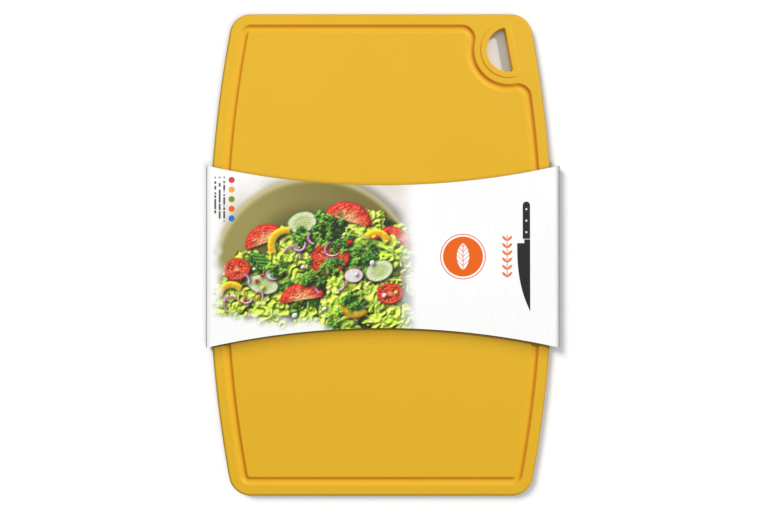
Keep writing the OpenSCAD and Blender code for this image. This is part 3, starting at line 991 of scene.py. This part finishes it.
printSet = {
    "white": (0.90, 0.90, 0.895), "board": (0.60, 0.58, 0.54), "cut": (0.78, 0.76, 0.72), "gloss": 0.15,
    "roughness": 0.42, "boardRougher": 0.4, "grainScale": 900.0, "tone": 0.02, "grainDepth": 0.000004,
    "loopHalf": (100.0, 4.0), "frontLevel": 0.3, "innerBelow": -0.05, "cutFrom": 0.6, "foldShade": 0.55,
    "foldPower": 0.34, "folds": (-116.1, 118.7), "foldReach": 4.0, "besideFoldShade": 0.17,
    "dots": {"x": -98.7, "top": 49.15, "step": 6.36, "radius": 2.06,
             "colours": ((0.66, 0.04, 0.055), (0.84, 0.38, 0.05), (0.20, 0.26, 0.005), (0.76, 0.115, 0.005),
                         (0.0, 0.18, 0.55))},
    "notes": {"columns": (-103.6, -106.6, -109.5), "feet": (21.6, 23.2, 27.0), "top": 50.8, "gap": 2.4,
              "width": 1.25, "bullet": 0.55, "mark": 0.62, "filled": 0.76, "seedStep": 40.5,
              "ink": (0.08, 0.08, 0.085)},
    "badge": {"centre": (54.2, -1.5), "disc": 13.2, "ring": 14.75, "line": 0.6, "ink": (0.75, 0.115, 0.0),
              "leafRadius": 12.5, "leafOffset": 8.4, "rib": 0.5, "ribStep": 3.1},
    "knife": {"spine": 98.6, "blade": 8.6, "tip": -37.8, "heel": 7.4, "curve": 2.6, "bolster": 2.2,
              "handle": 96.1, "handleHalf": 2.45, "butt": 34.9, "handleGap": 0.6, "rivet": 0.62,
              "rivets": (0.2, 0.5, 0.8), "neckShare": 1.6, "neckLap": (0.5, 0.3),
              "ink": (0.012, 0.012, 0.013)},
    "sprig": {"x": 83.4, "half": 4, "low": -15.7, "high": 12.9, "step": 4.77, "stem": 0.28, "reach": 1.75,
              "leaf": (2.15, 0.85), "leafEdge": 0.25, "ink": (0.73, 0.19, 0.045)},
    "weave": {"left": 30, "fade": 12, "step": 17.3, "swing": 6.2, "period": 66, "line": 0.45, "edge": 0.5,
              "share": 0.07, "ink": (0.35, 0.35, 0.37)},
}


def inkEdge(distance, width=0.2):  # 1 inside, 0 outside
    return (0.5 - distance / width).clamped()


def distanceTo(flat, spot):
    node = addNode(flat.tree, "ShaderNodeVectorMath", {0: flat, 1: (*spot, 0)}, operation="DISTANCE")
    return Field(node.outputs["Value"])


def discMask(flat, spot, radius):
    return inkEdge(distanceTo(flat, spot) - radius)


def boxMask(x, y, left, right, low, high):
    return inkEdge(most(abs(x - (left + right) / 2) - (right - left) / 2,
                        abs(y - (low + high) / 2) - (high - low) / 2))


def notesMask(flat, x, y, s):
    # three lines of small marks that say nothing, each with its bullet
    half, total = s["width"] / 2, 0.0
    for index, (column, foot) in enumerate(zip(s["columns"], s["feet"])):
        cell = calc("FLOOR", y / s["mark"]) + s["seedStep"] * (index + 1)
        noise = addNode(y.tree, "ShaderNodeTexWhiteNoise", {"W": cell}, noise_dimensions="1D")
        marked = Field(noise.outputs["Value"]) < s["filled"]
        line = boxMask(x, y, column - half, column + half, foot, s["top"] - s["gap"])
        total = most(line * marked, discMask(flat, (column, s["top"]), s["bullet"]), total)
    return total


def badgeMask(flat, x, y, s):
    # a disc in a ring, with a leaf left white on the disc
    (centreX, centreY), halfRib = s["centre"], s["rib"] / 2
    away = distanceTo(flat, s["centre"])
    ring = inkEdge(abs(away - s["ring"]) - s["line"] / 2)
    leftSide, rightSide = [discMask(flat, (centreX + side * s["leafOffset"], centreY), s["leafRadius"])
                           for side in (-1, 1)]
    across = abs(x - centreX)
    up = y - (across + centreY)
    ribs = most(inkEdge(calc("PINGPONG", up, s["ribStep"] / 2) - halfRib), inkEdge(across - halfRib))
    leaf = leftSide * rightSide * (1 - ribs)
    return most(inkEdge(away - s["disc"]) * (1 - leaf), ring)


def knifeMask(flat, x, y, s):
    # a chef's knife with its spine to the right and its tip down
    spine, heel, tip, half, middle = s["spine"], s["heel"], s["tip"], s["handleHalf"], s["handle"]
    grip, butt = heel + s["bolster"], s["butt"]
    edge = ((heel - y) / (heel - tip)).clamped() ** s["curve"] * s["blade"] + (spine - s["blade"])
    blade = inkEdge(most(edge - x, x - spine, y - heel, tip - y))
    below, above = s["neckLap"]
    neck = boxMask(x, y, spine - s["neckShare"] * half, spine, heel - below, grip + above)
    handle = most(boxMask(x, y, middle - half, middle + half, grip + s["handleGap"], butt - half),
                  discMask(flat, (middle, butt - half), half))
    for part in s["rivets"]:
        handle = handle * (1 - discMask(flat, (middle, grip + (butt - grip) * part), s["rivet"]))
    return most(blade, neck, handle)


def sprigMask(flat, x, y, s):
    # a stem with a pair of leaves at each step
    across = abs(x - s["x"])
    up = calc("WRAP", y - s["low"], s["step"], 0.0) - s["step"] / 2
    out = across - s["reach"]
    length, width = [size / math.sqrt(0.5) for size in s["leaf"]]
    along, beside = (out + up) / length, (out - up) / width
    leaf = inkEdge(calc("SQRT", along * along + beside * beside) - 1, s["leafEdge"])
    stem = inkEdge(across - s["stem"])
    return most(leaf, stem) * boxMask(x, y, s["x"] - s["half"], s["x"] + s["half"], s["low"], s["high"])


def weaveMask(x, y, s):
    # two families of faint waved lines that meet as pointed ovals
    swing = calc("SINE", y * (fullTurn / s["period"])) * s["swing"]
    lines = most(*[inkEdge(calc("PINGPONG", place, s["step"] / 2) - s["line"] / 2, s["edge"])
                   for place in (x - s["step"] / 2 + swing, x - swing)])
    return lines * ((x - s["left"]) / s["fade"]).clamped() * s["share"]


def makePrintedCard(s):
    material, tree, shader, tone = newMaterial("printedCard", s)
    place = addNode(tree, "ShaderNodeTexCoord")
    x, y, z = [axis / mm for axis in axes(tree, place.outputs["Object"])]
    facingX, facingY, facingZ = axes(tree, place.outputs["Normal"])
    flat = Field(vectorOf(tree, X=x, Y=y))
    halfWidth, halfHeight = s["loopHalf"]
    front = (z > halfHeight) * (facingZ > s["frontLevel"])
    colour = mixed(weaveMask(x, y, s["weave"]), s["white"], s["weave"]["ink"])
    share = Field(attributeNode(tree, "printShare").outputs["Fac"])
    colour = mixed(share, colour, attributeNode(tree, "printColour").outputs["Color"])
    dots = s["dots"]
    for index, ink in enumerate(dots["colours"]):
        spot = (dots["x"], dots["top"] - index * dots["step"])
        colour = mixed(discMask(flat, spot, dots["radius"]), colour, ink)
    prints = {"notes": notesMask, "badge": badgeMask, "knife": knifeMask, "sprig": sprigMask}
    for name, mask in prints.items():
        colour = mixed(mask(flat, x, y, s[name]), colour, s[name]["ink"])
    colour = mixed(front, s["white"], colour)
    # the card's inner side is plain board, and its cut edges show their fibre
    inner = facingX * (x / halfWidth) + facingZ * ((z - halfHeight) / halfHeight) < s["innerBelow"]
    colour = mixed(inner, colour, s["board"])
    colour = mixed(abs(facingY) > s["cutFrom"], colour, s["cut"])
    # painted shade: the card is greyer where it turns down, and a little on its front beside the folds
    left, right = s["folds"]
    inwards = (right - left) / 2 - abs(x - (left + right) / 2)
    near = (1 - (inwards / s["foldReach"]).clamped() ** 2) * front
    shade = (1 - turnedDown(facingZ, s["foldPower"]) * s["foldShade"]) * (1 - near * s["besideFoldShade"])
    feed(shader.inputs["Base Color"], tinted(colour, tone * shade))
    feed(shader.inputs["Roughness"], inner * s["boardRougher"] + s["roughness"])
    return material


siliconeMaterial = makeSilicone(siliconeSet)
cardMaterial = makePrintedCard(printSet)
matPiece = addPiece("moulded_mat", makeMat(matSet, siliconeMaterial), "mat", "silicone", "mat")
cardPiece = addPiece("folded_card", makeCard(cardSet, cardMaterial), "sleeve", "white_card", "sleeve_card")
picture = makePicture(pictureSet, cardSet, cardMaterial)
picturePiece = addPiece("printed_picture", picture, "sleeve", "white_card")
gluePiece = bpy.data.objects["glue_strip"]
gluePiece.material_slots[0].material = makeGlue(glueSet)


# The floor, the lamps and the white surroundings

floorSet = {"middle": (0, 0), "half": 1.5, "height": 0, "bounce": 0.36, "seen": (1.01, 1.01, 1.01)}
# painted shade and painted bounce light: the floor under the hole is seen darker and warmer than the white
# floor
holeShadeTileSet = {"middle": (0.079, 0.136), "half": 0.0165, "height": 0.00002, "bounce": 0.62,
           "seen": (0.575, 0.557, 0.525)}
# each lamp's share is of the light that makes a white surface render white
lampSet = {
    "keyLamp": {"from": (1.0, 1.0), "rise": 41, "far": 6.0, "size": 0.68, "share": 0.47, "on": "mat"},
    "topLamp": {"from": (-1.0, 0.8), "rise": 62, "far": 0.7, "size": 0.4, "share": 0.14, "on": "mat"},
    "cardLamp": {"from": (-0.08, 1.0), "rise": 68, "far": 3.0, "size": 0.8, "share": 0.735, "on": "sleeve"},
    "holeLamp": {"from": (0.3, 1.0), "rise": 85, "far": 1.0, "size": 0.6, "share": 0.26, "on": "tile"},
    "sideLamp": {"from": (-1.0, 1.0), "rise": 42, "far": 20.0, "size": 8.0, "share": 0.48, "on": "floor"},
    "floorLamp": {"from": (1.0, -1.0), "rise": 55, "far": 20.0, "size": 6.7, "share": 0.17, "on": "floor"},
}
skySet = {"low": 0.12, "rise": 0.39, "lean": 0.8, "seen": 1.0}


def makeGround(name, s):
    # a level square; the camera sees it lighter than other rays do, so that it is white round its shadows
    (x, y), half = s["middle"], s["half"]
    corners = [(x + across * half, y + along * half, s["height"])
               for across, along in ((-1, -1), (1, -1), (1, 1), (-1, 1))]
    mesh = bpy.data.meshes.new(name)
    mesh.from_pydata(corners, [], [(0, 1, 2, 3)])
    ground = newObject(name, mesh)
    material = bpy.data.materials.new(name)
    material.use_nodes = True
    tree = material.node_tree
    tree.nodes.remove(tree.nodes["Principled BSDF"])
    forRays, forCamera = [addNode(tree, "ShaderNodeBsdfDiffuse", {"Color": (*colour, 1)}).outputs[0]
                          for colour in ((s["bounce"],) * 3, s["seen"])]
    isCamera = addNode(tree, "ShaderNodeLightPath").outputs["Is Camera Ray"]
    either = addNode(tree, "ShaderNodeMixShader", {0: isCamera, 1: forRays, 2: forCamera})
    feed(tree.nodes["Material Output"].inputs["Surface"], either.outputs[0])
    mesh.materials.append(material)
    return ground


def addLamp(name, s, pieces):
    lamp = bpy.data.lights.new(name, "AREA")
    lamp.shape = "DISK"
    lamp.size = s["size"]
    rise, flat = math.radians(s["rise"]), math.hypot(*s["from"])
    aim = Vector((*[part / flat * math.cos(rise) for part in s["from"]], math.sin(rise)))
    lamp.energy = s["share"] * math.pi * math.pi * s["far"] ** 2 / math.sin(rise)
    holder = newObject(name, lamp)
    holder.location = aim * s["far"]
    holder.rotation_euler = aim.to_track_quat("Z", "Y").to_euler()
    # the photograph was put together from pieces that were lit apart, so each lamp lights its own
    group = bpy.data.collections.new(name)
    for piece in pieces[s["on"]]:
        group.objects.link(piece)
    holder.light_linking.receiver_collection = group


def makeSky(s):
    # brighter overhead than at the horizon, plain white to the camera, and in reflections bright on
    # the lamp's side
    world = bpy.data.worlds.new("studio")
    world.use_nodes = True
    bpy.context.scene.world = world
    tree = world.node_tree
    isCamera, isThrough, isGlossy = fieldsOf(addNode(tree, "ShaderNodeLightPath"), "Is Camera Ray",
                                             "Is Transmission Ray", "Is Glossy Ray")
    x, y, z = axes(tree, addNode(tree, "ShaderNodeTexCoord").outputs["Generated"])
    strength = most(z, 0.0) * s["rise"] + s["low"]
    shine = ((x + y) * s["lean"] + 1).clamped()
    for share, value in ((isGlossy, shine), (most(isCamera, isThrough), s["seen"])):
        strength = strength + (value - strength) * share
    background = tree.nodes["Background"]
    background.inputs["Color"].default_value = (1, 1, 1, 1)
    feed(background.inputs["Strength"], strength)


floor, tile = makeGround("floor", floorSet), makeGround("holeFloor", holeShadeTileSet)
litPieces = {"mat": [matPiece, tile], "tile": [tile], "floor": [floor],
             "sleeve": [cardPiece, picturePiece, gluePiece]}
for lampName, lampValues in lampSet.items():
    addLamp(lampName, lampValues, litPieces)
makeSky(skySet)
bpy.context.scene.view_settings.view_transform = "Standard"
print("floor, lamps and surroundings stand")
